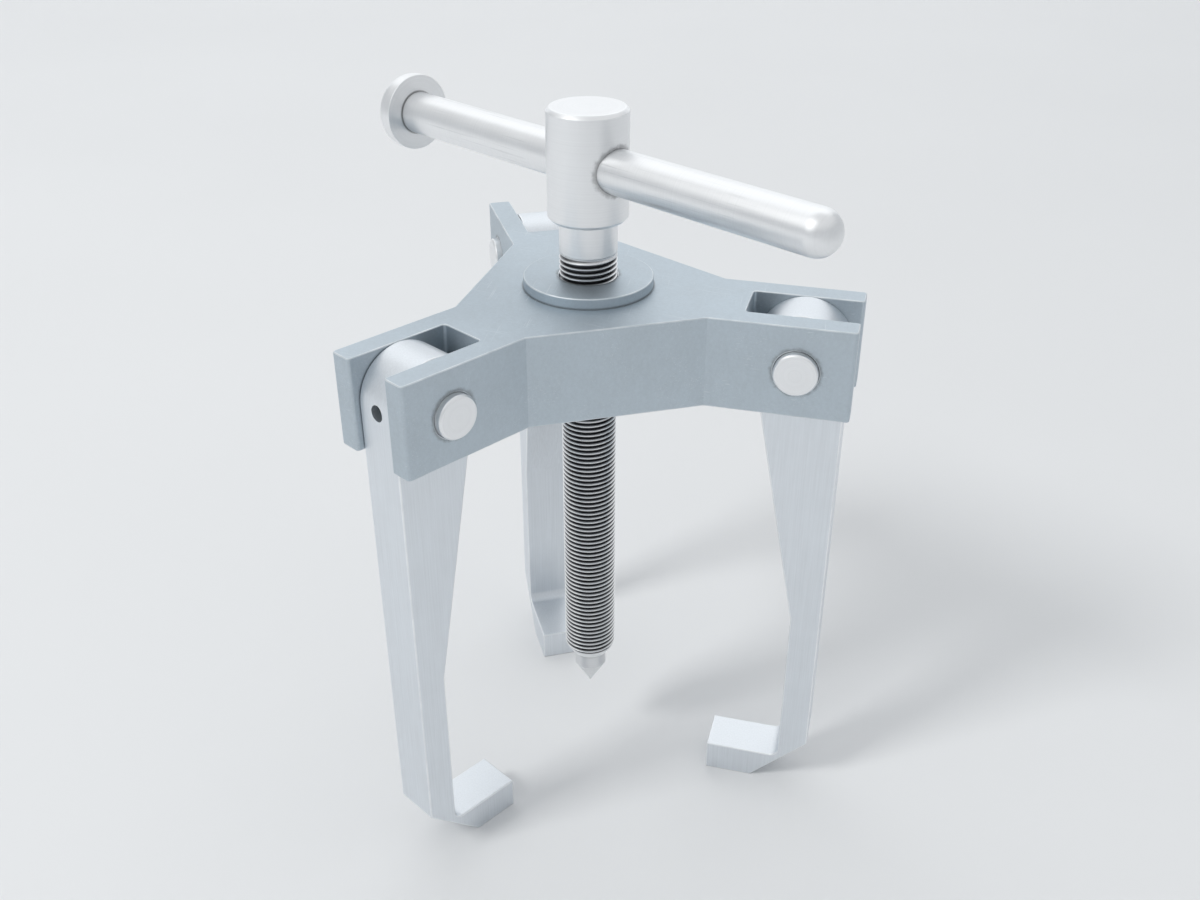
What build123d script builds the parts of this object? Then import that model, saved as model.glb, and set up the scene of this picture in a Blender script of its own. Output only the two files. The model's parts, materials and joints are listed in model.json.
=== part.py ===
"""Three-jaw gear puller: a slotted three-arm yoke, a threaded spindle with a
sliding tommy bar and a swivelling centre point, and three hooked jaws that
swing on pins locked by grub screws.

Millimetres, +Z up along the spindle. The origin is on the spindle's axis, at
the rim where the centre point's cone starts. The tommy bar lies along X.
"""
import os
from math import cos, radians, sin, tan

from build123d import *

# Arms, counted anticlockwise from above, the first one towards -Y
arm_count = 3
first_arm_azimuth = -90.0

# Pivot of each jaw, measured from the spindle's axis
pivot_radius = 60.0
pin_diameter = 12.0
pin_proud = 2.1
pin_chamfer = 0.5

# Jaw, measured down and outwards from its pivot
jaw_thickness = 14.0
jaw_head_radius = 13.0
jaw_shoulder = 12.6
jaw_leg_thickness = 8.8
jaw_knee_drop = 85.2
jaw_hook_drop = 140.4
jaw_hook_thickness = 10.0
jaw_hook_reach = 31.75
jaw_hook_fillet = 3.0
jaw_heel_chamfer = 17.1

# Yoke
yoke_height = 26.0
ear_thickness = 6.8
ear_past_pivot = 15.0
slot_end_gap = 2.0
core_flat_radius = 30.1
yoke_edge_round = 1.0
collar_diameter = 36.0
collar_height = 3.0
screw_hole_chamfer = 1.0

# Spindle, from its head down
head_diameter = 22.0
head_length = 30.0
head_chamfer = 1.0
neck_length = 9.0
thread_diameter = 16.0
thread_length = 137.0
thread_above_yoke = 10.0
thread_taper_length = 3.2
thread_taper_angle = 30.0

# Centre point
point_diameter = 10.0
point_length = 5.7
point_cone_angle = 60.0
stem_diameter = 8.0
stem_length = 14.0
stem_chamfer = 0.6
drill_point_angle = 118.0

# Tommy bar
bar_diameter = 12.0
bar_reach = 80.0
knob_diameter = 21.8
knob_thickness = 7.8
knob_round = 5.5

# Grub screw that locks each pin in its jaw
lock_screw_diameter = 4.4
lock_screw_recess = 2.2
lock_screw_seat_depth = 0.6
lock_screw_chamfer = 0.4
lock_socket_width = 2.5
lock_socket_depth = 2.2

# Radial and side clearances
running_clearance = 0.05
seated_clearance = 0.02
jaw_side_clearance = 0.2
stem_end_clearance = 0.3

# Half sizes, angles and levels that several pieces share
arm_azimuths = [first_arm_azimuth + turn * 360 / arm_count for turn in range(arm_count)]
pin_radius = pin_diameter / 2
thread_radius = thread_diameter / 2
bar_radius = bar_diameter / 2
head_radius = head_diameter / 2
point_radius = point_diameter / 2
stem_radius = stem_diameter / 2
lock_screw_radius = lock_screw_diameter / 2
slot_width = jaw_thickness + 2 * jaw_side_clearance
arm_width = slot_width + 2 * ear_thickness
arm_reach = pivot_radius + ear_past_pivot
slot_inner_end = pivot_radius - jaw_head_radius - slot_end_gap
yoke_top = point_length + thread_length - thread_above_yoke
yoke_bottom = yoke_top - yoke_height
pivot_level = yoke_top - yoke_height / 2
neck_bottom = yoke_top + thread_above_yoke
head_bottom = neck_bottom + neck_length
head_top = head_bottom + head_length
bar_level = head_bottom + head_length / 2


def arm_direction(azimuth):
    """Unit vector from the spindle's axis out along one arm."""
    return Vector(cos(radians(azimuth)), sin(radians(azimuth)), 0)


def pivot_point(azimuth):
    """Centre of one jaw's pivot."""
    return arm_direction(azimuth) * pivot_radius + Vector(0, 0, pivot_level)


def jaw_plane(azimuth):
    """Plane through one arm's middle: X outwards, Y up, Z along the pivot pin."""
    outwards = arm_direction(azimuth)
    return Plane(origin=pivot_point(azimuth), x_dir=outwards, z_dir=outwards.cross(Vector(0, 0, 1)))


def lock_plane(azimuth, distance):
    """Plane across the grub screw's axis, at a distance outwards from the pivot."""
    return Plane(origin=pivot_point(azimuth), z_dir=arm_direction(azimuth)).offset(distance)


# Yoke: slotted arms round a flat-sided core, with a collar where the spindle goes in
with BuildPart() as yoke:
    with BuildSketch(Plane.XY.offset(yoke_bottom)):
        RegularPolygon(core_flat_radius, arm_count, major_radius=False, rotation=first_arm_azimuth)
        with PolarLocations(0, arm_count, start_angle=first_arm_azimuth):
            Rectangle(arm_reach, arm_width, align=(Align.MIN, Align.CENTER))
        with PolarLocations(slot_inner_end, arm_count, start_angle=first_arm_azimuth):
            Rectangle(arm_reach, slot_width, align=(Align.MIN, Align.CENTER), mode=Mode.SUBTRACT)
    extrude(amount=yoke_height)
    fillet(yoke.edges().filter_by(Axis.Z), radius=yoke_edge_round)
    with BuildSketch(Plane.XY.offset(yoke_top)):
        Circle(collar_diameter / 2)
    extrude(amount=collar_height)
    with BuildSketch(Plane.XY.offset(yoke_bottom)):
        Circle(thread_radius + running_clearance)
    extrude(amount=yoke_height + collar_height, mode=Mode.SUBTRACT)
    lower_arcs = yoke.edges().filter_by(GeomType.CIRCLE).group_by(Axis.Z)[0]
    chamfer(lower_arcs.sort_by(SortBy.RADIUS)[-1], length=screw_hole_chamfer)
    for azimuth in arm_azimuths:
        with BuildSketch(jaw_plane(azimuth)):
            Circle(pin_radius + running_clearance)
        extrude(amount=arm_width / 2, both=True, mode=Mode.SUBTRACT)

# Spindle: head, neck, thread at its major diameter, and the socket for the point's stem
with BuildPart() as spindle:
    taper_radius = thread_radius - thread_taper_length * tan(radians(thread_taper_angle))
    socket_radius = stem_radius + running_clearance
    socket_top = point_length + stem_length + stem_end_clearance
    socket_tip = socket_top + socket_radius / tan(radians(drill_point_angle / 2))
    with BuildSketch(Plane.XZ):
        with BuildLine():
            Polyline(
                (0, socket_tip),
                (0, head_top),
                (head_radius - head_chamfer, head_top),
                (head_radius, head_top - head_chamfer),
                (head_radius, head_bottom + head_chamfer),
                (head_radius - head_chamfer, head_bottom),
                (thread_radius, head_bottom),
                (thread_radius, point_length + thread_taper_length),
                (taper_radius, point_length),
                (socket_radius, point_length),
                (socket_radius, socket_top),
                close=True,
            )
        make_face()
    revolve(axis=Axis.Z)
    with BuildSketch(Plane.YZ):
        with Locations((0, bar_level)):
            Circle(bar_radius + running_clearance)
    extrude(amount=head_diameter, both=True, mode=Mode.SUBTRACT)

# Centre point: the cone that bears in the shaft's end, on a stem that turns in the spindle
with BuildPart() as centre_point:
    stem_top = point_length + stem_length
    with BuildSketch(Plane.XZ):
        with BuildLine():
            Polyline(
                (0, -point_radius / tan(radians(point_cone_angle / 2))),
                (point_radius, 0),
                (point_radius, point_length),
                (stem_radius, point_length),
                (stem_radius, stem_top - stem_chamfer),
                (stem_radius - stem_chamfer, stem_top),
                (0, stem_top),
                close=True,
            )
        make_face()
    revolve(axis=Axis.Z)

# Tommy bar: a round bar with a domed end and a rounded knob
with BuildPart() as tommy_bar:
    bar_plane = Plane(origin=(0, 0, bar_level), x_dir=(1, 0, 0), z_dir=(0, -1, 0))
    dome_start = bar_reach - bar_radius
    knob_face = knob_thickness - bar_reach
    knob_radius = knob_diameter / 2
    with BuildSketch(bar_plane):
        with BuildLine():
            Polyline(
                (bar_reach, 0),
                (-bar_reach, 0),
                (-bar_reach, knob_radius - knob_round),
            )
            CenterArc((knob_round - bar_reach, knob_radius - knob_round), knob_round, 90, 90)
            Polyline(
                (knob_round - bar_reach, knob_radius),
                (knob_face, knob_radius),
                (knob_face, bar_radius),
                (dome_start, bar_radius),
            )
            CenterArc((dome_start, 0), bar_radius, 0, 90)
        make_face()
    revolve(axis=Axis((0, 0, bar_level), (1, 0, 0)))

finished = {
    "yoke": yoke,
    "spindle": spindle,
    "centre_point": centre_point,
    "tommy_bar": tommy_bar,
}

# One jaw, its pivot pin and its grub screw for each arm
for number, azimuth in enumerate(arm_azimuths, 1):
    leg_inner = jaw_head_radius - jaw_leg_thickness
    hook_tip = jaw_head_radius - jaw_hook_reach
    hook_bottom = -jaw_hook_drop - jaw_hook_thickness
    with BuildPart() as jaw:
        with BuildSketch(jaw_plane(azimuth)) as side:
            with BuildLine():
                Polyline(
                    (jaw_head_radius, 0),
                    (-jaw_shoulder, 0),
                    (leg_inner, -jaw_knee_drop),
                    (leg_inner, -jaw_hook_drop),
                    (hook_tip, -jaw_hook_drop),
                    (hook_tip, hook_bottom),
                    (jaw_head_radius - jaw_heel_chamfer, hook_bottom),
                    (jaw_head_radius, hook_bottom + jaw_heel_chamfer),
                    close=True,
                )
            make_face()
            hook_corner = side.vertices().sort_by_distance((leg_inner, -jaw_hook_drop))[0]
            fillet(hook_corner, radius=jaw_hook_fillet)
            Circle(jaw_head_radius)
            Circle(pin_radius + seated_clearance, mode=Mode.SUBTRACT)
        extrude(amount=jaw_thickness / 2, both=True)
        with BuildSketch(lock_plane(azimuth, 0)):
            Circle(lock_screw_radius + seated_clearance)
        extrude(amount=jaw_head_radius, mode=Mode.SUBTRACT)

    with BuildPart() as pivot_pin:
        with BuildSketch(jaw_plane(azimuth)):
            Circle(pin_radius)
        extrude(amount=arm_width / 2 + pin_proud, both=True)
        pin_rims = pivot_pin.edges().filter_by(GeomType.CIRCLE)
        chamfer(pin_rims, length=pin_chamfer)
        with BuildSketch(lock_plane(azimuth, pin_radius - lock_screw_seat_depth)):
            Circle(lock_screw_radius + seated_clearance)
        extrude(amount=pin_radius, mode=Mode.SUBTRACT)

    with BuildPart() as lock_screw:
        lock_tip = pin_radius - lock_screw_seat_depth
        lock_end = jaw_head_radius - lock_screw_recess
        with BuildSketch(lock_plane(azimuth, lock_tip)):
            Circle(lock_screw_radius)
        extrude(amount=lock_end - lock_tip)
        chamfer(lock_screw.edges().filter_by(GeomType.CIRCLE), length=lock_screw_chamfer)
        with BuildSketch(lock_plane(azimuth, lock_end)):
            RegularPolygon(lock_socket_width / 2, side_count=6, major_radius=False)
        extrude(amount=-lock_socket_depth, mode=Mode.SUBTRACT)

    finished[f"jaw_{number}"] = jaw
    finished[f"pivot_pin_{number}"] = pivot_pin
    finished[f"lock_screw_{number}"] = lock_screw

os.makedirs("parts", exist_ok=True)
for name, piece in finished.items():
    piece.part.label = name
    export_step(piece.part, f"parts/{name}.step")

print(f"yoke top {yoke_top:.2f}, pivot {pivot_level:.2f}, bar {bar_level:.2f}")
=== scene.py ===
"""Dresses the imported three-jaw gear puller: softened edges, the spindle's cut
thread, machined steel finishes, a pale studio floor and the photograph's
viewpoint. Metres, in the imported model's own frame.
"""
import json
from math import cos, pi, radians, sin, tan

import bmesh
import bpy
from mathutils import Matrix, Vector


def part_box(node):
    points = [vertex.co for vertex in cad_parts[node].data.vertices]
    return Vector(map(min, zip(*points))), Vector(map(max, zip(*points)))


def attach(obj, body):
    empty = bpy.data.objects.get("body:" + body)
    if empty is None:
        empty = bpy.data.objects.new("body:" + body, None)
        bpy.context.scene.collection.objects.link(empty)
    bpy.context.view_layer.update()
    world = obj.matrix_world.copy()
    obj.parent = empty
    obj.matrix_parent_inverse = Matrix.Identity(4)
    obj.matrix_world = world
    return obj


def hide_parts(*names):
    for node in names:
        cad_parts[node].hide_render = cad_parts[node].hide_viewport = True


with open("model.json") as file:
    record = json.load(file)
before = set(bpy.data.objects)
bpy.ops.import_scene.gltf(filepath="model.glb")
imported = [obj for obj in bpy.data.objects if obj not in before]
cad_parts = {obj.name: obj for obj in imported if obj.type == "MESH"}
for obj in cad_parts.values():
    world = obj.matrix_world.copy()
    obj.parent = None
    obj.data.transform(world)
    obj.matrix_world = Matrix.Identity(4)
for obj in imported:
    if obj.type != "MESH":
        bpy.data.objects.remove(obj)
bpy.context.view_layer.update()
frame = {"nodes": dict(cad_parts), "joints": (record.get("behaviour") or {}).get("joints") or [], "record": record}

MM = 0.001

# Levels and axes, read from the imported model; an axis is a point on it and its direction
record = frame["record"]
joints = {joint["name"]: joint for joint in frame["joints"]}
yoke_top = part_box("jaw_1")[1].z
floor_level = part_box("jaw_1")[0].z
head_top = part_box("spindle")[1].z
thread_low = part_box("spindle")[0].z
bar_level = (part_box("tommy_bar")[0].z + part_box("tommy_bar")[1].z) / 2
up = Vector((0, 0, 1))
spindle_axis = (Vector((0, 0, 0)), up)
bar_axis = (Vector((0, 0, bar_level)), Vector((1, 0, 0)))
jaw_numbers = (1, 2, 3)
pivot_axes = {}
lock_axes = {}
for number in jaw_numbers:
    swing = joints[f"jaw_{number}_swing"]
    pivot, across = Vector(swing["pos_m"]), Vector(swing["axis"])
    pivot_axes[number] = (pivot, across)
    lock_axes[number] = (pivot, across.cross(up))

# Viewpoint, measured from the spindle's axis and the yoke's top
camera_right = 226.5 * MM
camera_near = 222.0 * MM
camera_above_yoke = 130.1 * MM
camera_heading = radians(45)
camera_dip = radians(30)
camera_lens = 36.87
camera_sensor = 36.0
camera_clip = 10.0 * MM

# Thread of the 60 degree form: 0.6134 of its pitch deep, with crests an eighth of it wide
thread_pitch = 2 * pi / record["behaviour"]["couplings"][0]["ratio"]
thread_angle = radians(60)
thread_depth = 0.6134 * thread_pitch
thread_crest = thread_pitch / 8
thread_major = 8.0 * MM
thread_top = yoke_top + 10.0 * MM
thread_taper_top = thread_low + 3.2 * MM
thread_taper_angle = radians(30)
thread_crest_level = yoke_top + 8.58 * MM
thread_crest_azimuth = radians(-44.4)
thread_columns = 80
thread_spare_turns = 3
stem_radius = 4.05 * MM
stem_socket_depth = 14.3 * MM

# Collar, point, pins, bar and grub screws
collar_radius = 18.0 * MM
point_radius = 5.0 * MM
pin_radius = 6.0 * MM
bar_radius = 6.0 * MM
knob_thickness = 7.8 * MM
knob_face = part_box("tommy_bar")[0].x + knob_thickness
lock_screw_radius = 2.2 * MM

# Edge softening
yoke_edge = 0.35 * MM
jaw_edge = 0.4 * MM
turned_edge = 0.2 * MM
small_edge = 0.12 * MM
hole_edge = 0.06 * MM
hole_margin = 0.15 * MM
edge_segments = 2
flat_angle = radians(0.5)
sharp_angle = radians(25)
face_crease = radians(22)
edge_crease = radians(50)
weld = 1e-6
least_area = 1e-12

# Colours of the finishes
blasted_colour = (0.52, 0.585, 0.635)
blasted_worn = (0.74, 0.78, 0.81)
ground_colour = (0.76, 0.795, 0.83)
ground_worn = (0.90, 0.92, 0.94)
bright_colour = (0.88, 0.89, 0.90)
bright_worn = (0.95, 0.96, 0.97)
scuffed_colour = (0.56, 0.57, 0.58)
point_colour = (0.76, 0.77, 0.78)
oxide_colour = (0.09, 0.10, 0.11)
grime_and_shade_colour = (0.12, 0.12, 0.12)
oil_and_shade_colour = (0.05, 0.05, 0.055)

# Grain, marks and relief of the finishes
blast_grain = 0.9 * MM
blast_stains = 16.0 * MM
blast_relief = 0.06 * MM
grinding_lines = 0.5 * MM
grinding_stretch = (1, 1, 45)
grinding_stains = 14.0 * MM
grinding_relief = 0.02 * MM
lathe_marks = 0.5 * MM
lathe_stains = 12.0 * MM
lathe_relief = 0.01 * MM
oxide_grain = 0.3 * MM
oxide_relief = 0.01 * MM
oxide_metallic = 0.6
rubbed_patches = 7.0 * MM
scratch_width = 0.45 * MM
scratch_stretch = (50, 1, 1)
scratch_patches = 13.0 * MM
scratch_turns = (radians(20), radians(-55))
scratch_share = 0.35
scratch_relief = 0.4
scuff_width = 0.7 * MM
scuff_stretch = (60, 1, 1)
scuffed_within = 52.0 * MM
unscuffed_past = 66.0 * MM
scuff_share = 0.5
scuff_relief = 0.6

# Grime and painted shade round the shafts and in the corners, and dark oil and painted shade in the thread's roots
grime_and_shade_within = 0.2 * MM
undarkened_past = 1.5 * MM
grime_and_shade_smudges = 1.5 * MM
grime_and_shade_waver = 1.6 * MM
corner_line = 0.1 * MM
corner_width = 0.65 * MM
point_corner_width = 1.8 * MM
oil_and_shade_margin = 0.1 * MM
oil_and_shade_from = 0.04 * thread_depth
oil_and_shade_full = 0.55 * thread_depth
oil_and_shade_share = 0.95
contact_share = 0.5
corner_share = 0.6
bright_wear_share = 0.6

# Floor and room
floor_reach = 9.0
floor_sweep = 4.0
floor_sweep_steps = 16
floor_turn_steps = 96
wall_height = 5.0
floor_near_colour = (0.71, 0.72, 0.73)
floor_far_colour = (0.88, 0.89, 0.90)
floor_paler_from = 2.0
floor_paler_to = 5.0
floor_stains = 300.0 * MM
floor_roughness = 0.8
floor_specular = 0.2
room_colour = (0.97, 0.985, 1.0)
room_low = 0.0
room_high = 0.8
room_side_light = 0.50
room_top_light = 0.80

# Lamps: the key lamp lights the steel, and the shadow lamp in its place lights the floor
key_azimuth = radians(-105)
key_elevation = radians(45)
key_distance = 2.6
key_size = 2.0
key_power = 11.0
key_colour = (1.0, 0.99, 0.97)
shadow_size = 0.6
shadow_power = 26.0
back_azimuth = radians(135)
back_elevation = radians(38)
back_distance = 2.0
back_size = 3.0
back_power = 12.5
back_colour = (0.98, 0.99, 1.0)


# Camera

def in_scene(name, data):
    """A new object of the scene, made of the data."""
    made = bpy.data.objects.new(name, data)
    bpy.context.scene.collection.objects.link(made)
    return made


def place_camera():
    """Puts the camera where the photograph was seen from."""
    data = bpy.data.cameras.new("photo_view")
    data.sensor_width = camera_sensor
    data.lens = camera_lens
    data.clip_start = camera_clip
    camera = in_scene("photo_view", data)
    camera.location = (camera_right, -camera_near, yoke_top + camera_above_yoke)
    camera.rotation_euler = (pi / 2 - camera_dip, 0, camera_heading)
    bpy.context.scene.camera = camera


place_camera()


# Shader maths

class Number:
    """A number that varies over a surface; arithmetic on it adds Math nodes."""

    def __init__(self, nodes, socket):
        self.nodes = nodes
        self.socket = socket

    def math(self, operation, *others):
        """What a Math node makes of this number and any others."""
        values = dict(enumerate((self,) + others))
        return self.nodes.number("ShaderNodeMath", {"operation": operation}, values)

    def __add__(self, other):
        return self.math("ADD", other)

    def __radd__(self, other):
        return self.math("ADD", other)

    def __sub__(self, other):
        return self.math("SUBTRACT", other)

    def __rsub__(self, other):
        return self.math("MULTIPLY_ADD", -1.0, other)

    def __mul__(self, other):
        return self.math("MULTIPLY", other)

    def __rmul__(self, other):
        return self.math("MULTIPLY", other)

    def __abs__(self):
        return self.math("ABSOLUTE")

    def greater(self, other):
        """The greater of two numbers."""
        return self.math("MAXIMUM", other)

    def smaller(self, other):
        """The smaller of two numbers."""
        return self.math("MINIMUM", other)

    def step(self, low, high, first=0.0, last=1.0):
        """The first value below low and the last above high, with a smooth change between them."""
        settings = {"interpolation_type": "SMOOTHSTEP"}
        values = {"Value": self, "From Min": low, "From Max": high, "To Min": first, "To Max": last}
        return self.nodes.number("ShaderNodeMapRange", settings, values)


class Nodes:
    """The nodes of a material or of the world, with one method that adds any of them."""

    def __init__(self, owner, surface):
        owner.use_nodes = True
        self.tree = owner.node_tree
        self.surface = self.tree.nodes[surface]
        self.coordinates = self.node("ShaderNodeTexCoord").outputs

    def node(self, kind, settings=None, values=None):
        """Adds a node: its settings first, then each socket's value or link."""
        added = self.tree.nodes.new(kind)
        for name, setting in (settings or {}).items():
            setattr(added, name, setting)
        for name, value in (values or {}).items():
            self.feed(added.inputs[name], value)
        return added

    def feed(self, socket, value):
        """Links a socket to a number or another socket, or else sets its value."""
        if isinstance(value, Number):
            value = value.socket
        if isinstance(value, bpy.types.NodeSocket):
            self.tree.links.new(value, socket)
        elif socket.type == "RGBA":
            socket.default_value = (*value, 1.0)
        else:
            socket.default_value = value

    def number(self, kind, settings=None, values=None, output=0):
        """Adds a node and gives one of its outputs as a number."""
        return Number(self, self.node(kind, settings, values).outputs[output])

    def vectors(self, operation, *values):
        """Adds a Vector Math node and gives its outputs."""
        return self.node("ShaderNodeVectorMath", {"operation": operation}, dict(enumerate(values))).outputs


class Finish(Nodes):
    """A material being made, with the patterns and tones that it is put together from."""

    def __init__(self, name):
        self.material = bpy.data.materials.new(name)
        super().__init__(self.material, "Principled BSDF")
        self.place = self.coordinates["Object"]

    def noise(self, size, place=None, detail=2.0, roughness=0.5):
        """Noise from 0 to 1 whose features are about size across."""
        values = {"Vector": place or self.place, "Scale": 1 / size, "Detail": detail, "Roughness": roughness}
        return self.number("ShaderNodeTexNoise", None, values)

    def stretched(self, stretch, turn=0.0):
        """The place on the piece, turned about Z and then divided by stretch along each axis."""
        turned = self.node("ShaderNodeMapping", None, {"Vector": self.place, "Rotation": (0, 0, -turn)})
        return self.vectors("DIVIDE", turned.outputs["Vector"], stretch)["Vector"]

    def away(self, axis):
        """Distance from an axis."""
        origin, direction = axis
        offset = self.vectors("SUBTRACT", self.place, origin)["Vector"]
        across = self.vectors("CROSS_PRODUCT", offset, direction)["Vector"]
        return Number(self, self.vectors("LENGTH", across)["Value"])

    def along(self, axis):
        """Distance along an axis."""
        origin, direction = axis
        offset = self.vectors("SUBTRACT", self.place, origin)["Vector"]
        return Number(self, self.vectors("DOT_PRODUCT", offset, direction)["Value"])

    def wear(self):
        """1 on softened edges, 0 on the faces between them."""
        return self.number("ShaderNodeAttribute", {"attribute_name": "edge_wear"}, None, "Fac")

    def rubbed(self, least):
        """Edge wear that drops to a least share of itself in patches."""
        return self.wear() * self.noise(rubbed_patches, detail=3.0).step(0.35, 0.65, least, 1.0)

    def blend(self, share, first, second):
        """A colour between two, by share."""
        mixed = self.node("ShaderNodeMix", {"data_type": "RGBA"}, {"Factor": share})
        colours = [socket for socket in mixed.inputs if socket.type == "RGBA"]
        self.feed(colours[0], first)
        self.feed(colours[1], second)
        return [socket for socket in mixed.outputs if socket.type == "RGBA"][0]

    def tone(self, colour, level):
        """A colour made lighter or darker by a number."""
        scaled = self.node("ShaderNodeVectorMath", {"operation": "SCALE"}, {0: colour, "Scale": level})
        return scaled.outputs["Vector"]

    def bump(self, height, depth):
        """Surface relief, depth high where height is 1."""
        relief = self.node("ShaderNodeBump", None, {"Height": height, "Distance": depth, "Strength": 1.0})
        self.feed(self.surface.inputs["Normal"], relief.outputs["Normal"])

    def done(self, colour, roughness, metallic=1.0):
        """The material, once its shader has its colour, roughness and metal share."""
        for name, value in (("Base Color", colour), ("Roughness", roughness), ("Metallic", metallic)):
            self.feed(self.surface.inputs[name], value)
        return self.material


class TurnedFinish(Finish):
    """Bright steel off the lathe: fine marks about an axis, stains and paler worn edges."""

    def __init__(self, name, axis, tint=bright_colour, marked=0.12, stained=0.08):
        super().__init__(name)
        turned = self.node("ShaderNodeCombineXYZ", None, {"X": self.away(axis), "Y": self.along(axis)})
        self.marks = self.noise(lathe_marks, turned.outputs["Vector"], detail=3.0, roughness=0.6)
        self.stains = self.noise(lathe_stains, detail=4.0)
        self.steel = self.tone(tint, 1 - marked + stained * self.stains + marked * self.marks)
        self.dullness = 0.25 + 0.14 * self.stains + 0.06 * self.marks

    def worn(self, steel):
        """The steel's colour with its edges paler."""
        return self.blend(self.wear() * bright_wear_share, steel, bright_worn)


# Finishes

def hairlines(finish):
    """1 on a few fine straight handling scratches, 0 between them."""
    scratches = 0.0
    for turn in scratch_turns:
        lines = finish.noise(scratch_width, finish.stretched(scratch_stretch, turn)).step(0.64, 0.70)
        scratches = lines.greater(scratches)
    return scratches * finish.noise(scratch_patches).step(0.48, 0.62)


def contact_grime_and_shade(finish, shafts):
    """1 in the rings of oily grime and painted shade close round the shafts that enter a face, 0 away from them.
    """
    waver = (finish.noise(grime_and_shade_smudges, detail=3.0) - 0.5) * grime_and_shade_waver
    grime_and_shade = 0.0
    for axis, radius in shafts:
        ring = 1 - (finish.away(axis) + waver).step(radius + grime_and_shade_within, radius + undarkened_past)
        grime_and_shade = ring.greater(grime_and_shade)
    return grime_and_shade


def corner_grime_and_shade(finish, axis, radius, level, width=corner_width):
    """1 in the grime and painted shade of the corner where a round shaft stands on a flat shoulder, 0 a width away
    from it.
    """
    reach = abs(finish.away(axis) - radius).greater(abs(finish.along(axis) - level))
    return 1 - reach.step(corner_line, width)


def blasted_steel():
    """The yoke's bead-blasted blue-grey steel, rubbed along its edges, with oily grime and painted shade round its
    shafts and in the collar's corner.
    """
    finish = Finish("blasted_steel")
    grain = finish.noise(blast_grain, detail=4.0, roughness=0.75)
    stains = finish.noise(blast_stains, detail=5.0, roughness=0.6)
    rubbed = finish.rubbed(0.5)
    scratches = hairlines(finish)
    # Grime and painted shade round the pivot pins, the spindle and the collar's corner
    shafts = [(axis, pin_radius) for axis in pivot_axes.values()] + [(spindle_axis, thread_major)]
    collar_corner = corner_grime_and_shade(finish, spindle_axis, collar_radius, yoke_top)
    grime_and_shade = contact_grime_and_shade(finish, shafts).greater(collar_corner) * contact_share
    steel = finish.tone(blasted_colour, 0.78 + 0.22 * stains + 0.22 * grain)
    dirty_and_shaded = finish.blend(grime_and_shade, steel, grime_and_shade_colour)
    colour = finish.blend(rubbed.greater(scratches * scratch_share), dirty_and_shaded, blasted_worn)
    finish.bump(grain - scratch_relief * scratches, blast_relief)
    return finish.done(colour, 0.40 + 0.18 * stains - 0.12 * rubbed)


def ground_steel(number):
    """A jaw's steel, ground along its length, lighter than the yoke."""
    finish = Finish(f"ground_steel_{number}")
    lines = finish.noise(grinding_lines, finish.stretched(grinding_stretch), detail=4.0, roughness=0.65)
    stains = finish.noise(grinding_stains, detail=5.0, roughness=0.6)
    rubbed = finish.rubbed(0.55)
    # Grime and painted shade round the pivot pin
    grime_and_shade = contact_grime_and_shade(finish, [(pivot_axes[number], pin_radius)]) * contact_share
    steel = finish.tone(ground_colour, 0.84 + 0.12 * stains + 0.2 * lines)
    dirty_and_shaded = finish.blend(grime_and_shade, steel, grime_and_shade_colour)
    finish.bump(lines, grinding_relief)
    return finish.done(finish.blend(rubbed, dirty_and_shaded, ground_worn), 0.32 + 0.2 * stains - 0.1 * rubbed)


def pin_steel(number):
    """A pivot pin's bright steel."""
    finish = TurnedFinish(f"pin_steel_{number}", pivot_axes[number])
    finish.bump(finish.marks, lathe_relief)
    return finish.done(finish.worn(finish.steel), finish.dullness)


def point_steel():
    """The centre point's darker bright steel, with grime and painted shade under the spindle's end."""
    finish = TurnedFinish("point_steel", spindle_axis, point_colour)
    worn = finish.worn(finish.steel)
    # Grime and painted shade in the corner under the spindle's end
    grime_and_shade = corner_grime_and_shade(finish, spindle_axis, point_radius, thread_low, point_corner_width) * corner_share
    finish.bump(finish.marks, lathe_relief)
    return finish.done(finish.blend(grime_and_shade, worn, grime_and_shade_colour), finish.dullness)


def slid_steel():
    """The tommy bar's bright steel, scuffed along its length by the spindle's hole."""
    finish = TurnedFinish("slid_steel", bar_axis)
    scuffs = finish.noise(scuff_width, finish.stretched(scuff_stretch), detail=3.0).step(0.56, 0.72)
    slid = 1 - abs(finish.along(bar_axis)).step(scuffed_within, unscuffed_past)
    rubbed = scuffs * slid * finish.stains.step(0.35, 0.6)
    worn = finish.worn(finish.blend(rubbed * scuff_share, finish.steel, scuffed_colour))
    # Grime and painted shade in the corner where the bar meets the knob
    grime_and_shade = corner_grime_and_shade(finish, bar_axis, bar_radius, knob_face) * corner_share
    finish.bump(finish.marks - scuff_relief * rubbed, lathe_relief)
    return finish.done(finish.blend(grime_and_shade, worn, grime_and_shade_colour), finish.dullness + 0.1 * rubbed)


def threaded_steel():
    """The spindle's bright steel, with dark oil and painted shade in the roots of its thread, and grime and
    painted shade round the bar's hole.
    """
    finish = TurnedFinish("threaded_steel", spindle_axis, marked=0.10, stained=0.06)
    level = finish.along(spindle_axis)
    # Dark oil and painted shade in the thread's roots, growing with depth below the crests
    tapered = (level - thread_taper_top) * tan(thread_taper_angle) + thread_major
    depth = tapered.smaller(thread_major) - finish.away(spindle_axis)
    above_end = level.step(thread_low, thread_low + oil_and_shade_margin)
    below_neck = 1 - level.step(thread_top - thread_pitch, thread_top)
    oil_and_shade = depth.step(oil_and_shade_from, oil_and_shade_full) * above_end * below_neck * oil_and_shade_share
    # Grime and painted shade round the bar's hole
    grime_and_shade = contact_grime_and_shade(finish, [(bar_axis, bar_radius)]) * contact_share
    worn = finish.worn(finish.steel)
    finish.bump(finish.marks, lathe_relief)
    return finish.done(finish.blend(oil_and_shade.greater(grime_and_shade), worn, oil_and_shade_colour), finish.dullness)


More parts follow.
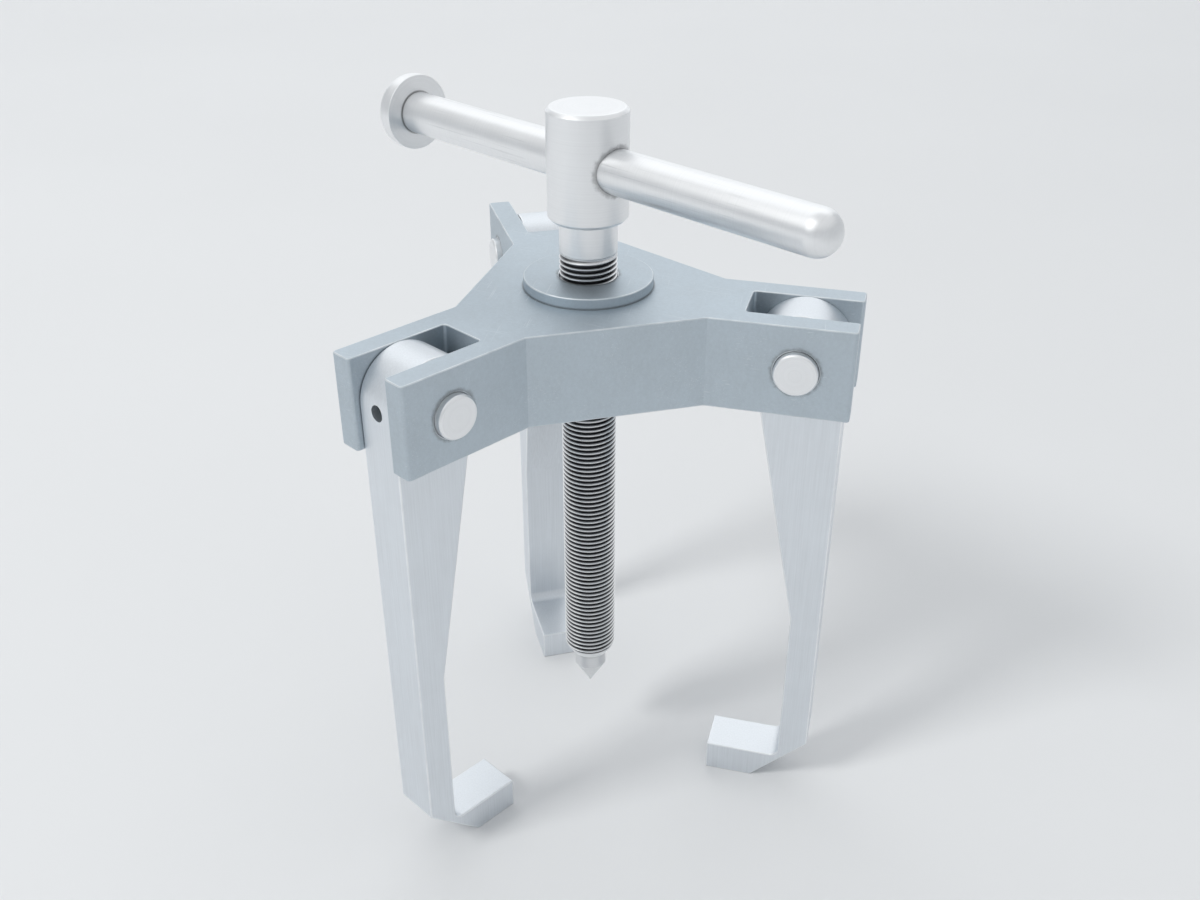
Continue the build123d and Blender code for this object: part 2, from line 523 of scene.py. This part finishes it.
def black_steel(number):
    """The black oxide finish of a grub screw."""
    finish = Finish(f"black_steel_{number}")
    grain = finish.noise(oxide_grain)
    finish.bump(grain, oxide_relief)
    steel = finish.tone(oxide_colour, 0.85 + 0.3 * grain)
    return finish.done(steel, 0.42 + 0.1 * grain, oxide_metallic)


def floor_paint():
    """The floor's pale even paint, paler far away."""
    finish = Finish("floor_paint")
    stains = finish.noise(floor_stains)
    near = finish.tone(floor_near_colour, 0.98 + 0.04 * stains)
    far = finish.away(spindle_axis).step(floor_paler_from, floor_paler_to)
    finish.feed(finish.surface.inputs["Specular IOR Level"], floor_specular)
    return finish.done(finish.blend(far, near, floor_far_colour), floor_roughness, 0.0)


# Shaping

def mark_wear(shape, faces, amount):
    """Writes how worn the faces are, 0 or 1, at their corners."""
    layers = shape.loops.layers.float_color
    worn = layers.get("edge_wear") or layers.new("edge_wear")
    for face in faces:
        for loop in face.loops:
            loop[worn] = (amount, amount, amount, 1)


def copy_of(node):
    """The node's surface as one welded shell, with its flat faces whole."""
    shape = bmesh.new()
    shape.from_mesh(frame["nodes"][node].data)
    bmesh.ops.remove_doubles(shape, verts=shape.verts, dist=weld)
    bmesh.ops.dissolve_limit(shape, angle_limit=flat_angle, verts=shape.verts, edges=shape.edges)
    mark_wear(shape, shape.faces, 0)
    return shape


def line_through(points):
    """A shape that starts as one open line through the points."""
    shape = bmesh.new()
    corners = [shape.verts.new(point) for point in points]
    for first, second in zip(corners, corners[1:]):
        shape.edges.new((first, second))
    return shape


def turn_round(shape, steps, rise=0.0):
    """Sweeps a line once round the spindle's axis, level or up a helix, and welds it."""
    bmesh.ops.spin(
        shape,
        geom=shape.verts[:] + shape.edges[:],
        cent=(0, 0, 0),
        axis=up,
        dvec=up * rise / steps,
        angle=2 * pi,
        steps=steps,
        use_merge=rise == 0,
    )
    bmesh.ops.remove_doubles(shape, verts=shape.verts, dist=5 * weld)


def trim(shape, level, side):
    """Cuts away what is above a level where side is 1, or below it where side is -1."""
    bmesh.ops.bisect_plane(
        shape,
        geom=shape.verts[:] + shape.edges[:] + shape.faces[:],
        dist=weld,
        plane_co=up * level,
        plane_no=up * side,
        clear_outer=True,
    )


def close(shape):
    """Fills the openings that a trim leaves, and turns all faces outwards."""
    bmesh.ops.holes_fill(shape, edges=[edge for edge in shape.edges if edge.is_boundary], sides=0)
    bmesh.ops.recalc_face_normals(shape, faces=shape.faces)


def is_sharp(edge):
    """Whether an edge is an outer corner that gets softened."""
    return edge.is_manifold and edge.calc_face_angle_signed() > sharp_angle


def by_hole(edge, hole):
    """Whether an edge belongs to a fine cross hole, given as its axis and radius."""
    if hole is None:
        return False
    (origin, direction), radius = hole
    return min((vert.co - origin).cross(direction).length for vert in edge.verts) < radius + hole_margin


def soften(shape, width, hole=None):
    """Rounds the outer edges, finely where a cross hole comes out, and marks the rounded strips as worn."""
    for at_hole, offset in ((False, width), (True, hole_edge)):
        edges = [edge for edge in shape.edges if is_sharp(edge) and by_hole(edge, hole) == at_hole]
        strips = bmesh.ops.bevel(
            shape,
            geom=edges,
            offset=offset,
            offset_type="OFFSET",
            segments=edge_segments,
            profile=0.5,
            affect="EDGES",
            clamp_overlap=True,
            loop_slide=True,
            material=-1,
        )
        mark_wear(shape, strips["faces"], 1)


def softened(node, width, hole=None):
    """The node's own shape with softened edges."""
    shape = copy_of(node)
    soften(shape, width, hole)
    return shape


def smooth_rise(value, low, high):
    """0 below low and 1 above high, with a smooth rise between them."""
    share = max(0.0, min(1.0, (value - low) / (high - low)))
    return share * share * (3 - 2 * share)


def cut_thread():
    """The threaded length of the spindle: one pitch swept up a helix, trimmed, run out and tapered."""
    slope = thread_depth * tan(thread_angle / 2)
    minor = thread_major - thread_depth
    half_crest = thread_crest / 2
    tooth = (
        (minor, -half_crest - slope),
        (thread_major, -half_crest),
        (thread_major, half_crest),
        (minor, half_crest + slope),
    )
    outward = Vector((cos(thread_crest_azimuth), sin(thread_crest_azimuth), 0))
    turns_below = int((thread_crest_level - thread_low) / thread_pitch) + thread_spare_turns
    turns_above = int((thread_top - thread_crest_level) / thread_pitch) + thread_spare_turns
    points = []
    for turn in range(-turns_below, turns_above):
        level = thread_crest_level + turn * thread_pitch
        points += [outward * reach + up * (level + rise) for reach, rise in tooth]
    shape = line_through(points)
    turn_round(shape, thread_columns, thread_pitch)
    trim(shape, thread_low, -1)
    trim(shape, thread_top, 1)
    for vert in shape.verts:
        away = vert.co.xy.length
        filled = smooth_rise(vert.co.z, thread_top - thread_pitch, thread_top)
        run_out = away + (thread_major - away) * filled
        tapered = thread_major - (thread_taper_top - vert.co.z) * tan(thread_taper_angle)
        vert.co.xy *= min(run_out, tapered) / away
    close(shape)
    mark_wear(shape, shape.faces, 0)
    return shape


def sink_socket(thread):
    """Sinks the socket for the point's stem into the thread's lower end."""
    end = min(thread.faces, key=lambda face: face.calc_center_median().z)
    end_radius = sum(vert.co.xy.length for vert in end.verts) / len(end.verts)
    bmesh.ops.inset_region(thread, faces=[end], thickness=end_radius - stem_radius, use_even_offset=True)
    bottom = bmesh.ops.extrude_discrete_faces(thread, faces=[end])["faces"][0]
    bmesh.ops.translate(thread, verts=bottom.verts[:], vec=up * stem_socket_depth)
    bmesh.ops.remove_doubles(thread, verts=thread.verts, dist=weld)


def spindle_shape():
    """The spindle: its packed head and neck on the cut thread, with the socket for the point's stem."""
    shape = copy_of("spindle")
    trim(shape, thread_top, -1)
    close(shape)
    soften(shape, turned_edge, (bar_axis, bar_radius))
    thread = cut_thread()
    sink_socket(thread)
    mesh = bpy.data.meshes.new("thread")
    thread.to_mesh(mesh)
    thread.free()
    shape.from_mesh(mesh)
    bpy.data.meshes.remove(mesh)
    return shape


def shade(mesh):
    """Sets corner normals that keep broad faces true and turn smoothly over softened edges."""
    worn = mesh.attributes["edge_wear"].data
    touching = [[] for vertex in mesh.vertices]
    for face in mesh.polygons:
        for vertex in face.vertices:
            touching[vertex].append(face)
    normals = []
    for face in mesh.polygons:
        crease = edge_crease if worn[face.loop_start].color[0] > 0.5 else face_crease
        for vertex in face.vertices:
            near = [other for other in touching[vertex] if other.normal.dot(face.normal) > cos(crease)]
            total = sum((other.normal * other.area for other in near), face.normal * least_area)
            normals.append(total.normalized())
    mesh.normals_split_custom_set(normals)


def made_object(shape, name, material):
    """The shape as an object of the scene, smooth and in its material."""
    mesh = bpy.data.meshes.new(name)
    shape.to_mesh(mesh)
    shape.free()
    mesh.shade_smooth()
    mesh.materials.append(material)
    return in_scene(name, mesh)


def finished(shape, name, node, body, material):
    """Turns a shape into a piece that stands for a node and rides on its body."""
    piece = made_object(shape, name, material)
    shade(piece.data)
    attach(piece, body)
    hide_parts(node)


# Pieces

finished(softened("yoke", yoke_edge), "slotted_yoke", "yoke", "yoke", blasted_steel())
finished(spindle_shape(), "threaded_spindle", "spindle", "screw", threaded_steel())
cone = softened("centre_point", small_edge)
finished(cone, "cone_point", "centre_point", "point", point_steel())
bar = softened("tommy_bar", turned_edge)
finished(bar, "sliding_bar", "tommy_bar", "bar", slid_steel())

for number in jaw_numbers:
    body = f"jaw_{number}"
    lock_hole = (lock_axes[number], lock_screw_radius)
    jaw = softened(f"jaw_{number}", jaw_edge, lock_hole)
    finished(jaw, f"hooked_jaw_{number}", f"jaw_{number}", body, ground_steel(number))
    pin = softened(f"pivot_pin_{number}", small_edge, lock_hole)
    finished(pin, f"jaw_pin_{number}", f"pivot_pin_{number}", body, pin_steel(number))
    screw = softened(f"lock_screw_{number}", small_edge)
    finished(screw, f"grub_screw_{number}", f"lock_screw_{number}", body, black_steel(number))


# Studio

def studio_floor():
    """A wide pale floor under the hooks that sweeps up into a wall far away."""
    line = [(0, 0, floor_level)]
    for step in range(floor_sweep_steps + 1):
        turn = radians(90) * step / floor_sweep_steps
        reach = floor_reach - floor_sweep * (1 - sin(turn))
        line.append((reach, 0, floor_level + floor_sweep * (1 - cos(turn))))
    line.append((floor_reach, 0, floor_level + wall_height))
    shape = line_through(line)
    turn_round(shape, floor_turn_steps)
    bmesh.ops.recalc_face_normals(shape, faces=shape.faces)
    bmesh.ops.reverse_faces(shape, faces=shape.faces)
    made_object(shape, "studio_floor", floor_paint())


def soft_lamp(name, azimuth, elevation, distance, size, power, colour):
    """A square lamp aimed at the middle of the puller."""
    aim = up * (floor_level + head_top) / 2
    outwards = Vector((cos(azimuth) * cos(elevation), sin(azimuth) * cos(elevation), sin(elevation)))
    data = bpy.data.lights.new(name, "AREA")
    data.shape = "SQUARE"
    data.size = size
    data.energy = power
    data.color = colour
    lamp = in_scene(name, data)
    lamp.location = aim + outwards * distance
    lamp.rotation_euler = outwards.to_track_quat("Z", "Y").to_euler()
    return lamp


def pale_room():
    """Even pale light all round, a little brighter overhead."""
    world = bpy.data.worlds.new("pale_room")
    bpy.context.scene.world = world
    room = Nodes(world, "Background")
    height = room.number("ShaderNodeSeparateXYZ", None, {0: room.coordinates["Generated"]}, "Z")
    light = height.step(room_low, room_high, room_side_light, room_top_light)
    room.feed(room.surface.inputs["Color"], room_colour)
    room.feed(room.surface.inputs["Strength"], light)


studio_floor()
pale_room()
key_place = (key_azimuth, key_elevation, key_distance)
key_lamp = soft_lamp("key_lamp", *key_place, key_size, key_power, key_colour)
key_lamp.visible_diffuse = False
shadow_lamp = soft_lamp("shadow_lamp", *key_place, shadow_size, shadow_power, key_colour)
shadow_lamp.visible_glossy = False
soft_lamp("back_lamp", back_azimuth, back_elevation, back_distance, back_size, back_power, back_colour)
bpy.context.scene.view_settings.view_transform = "Standard"
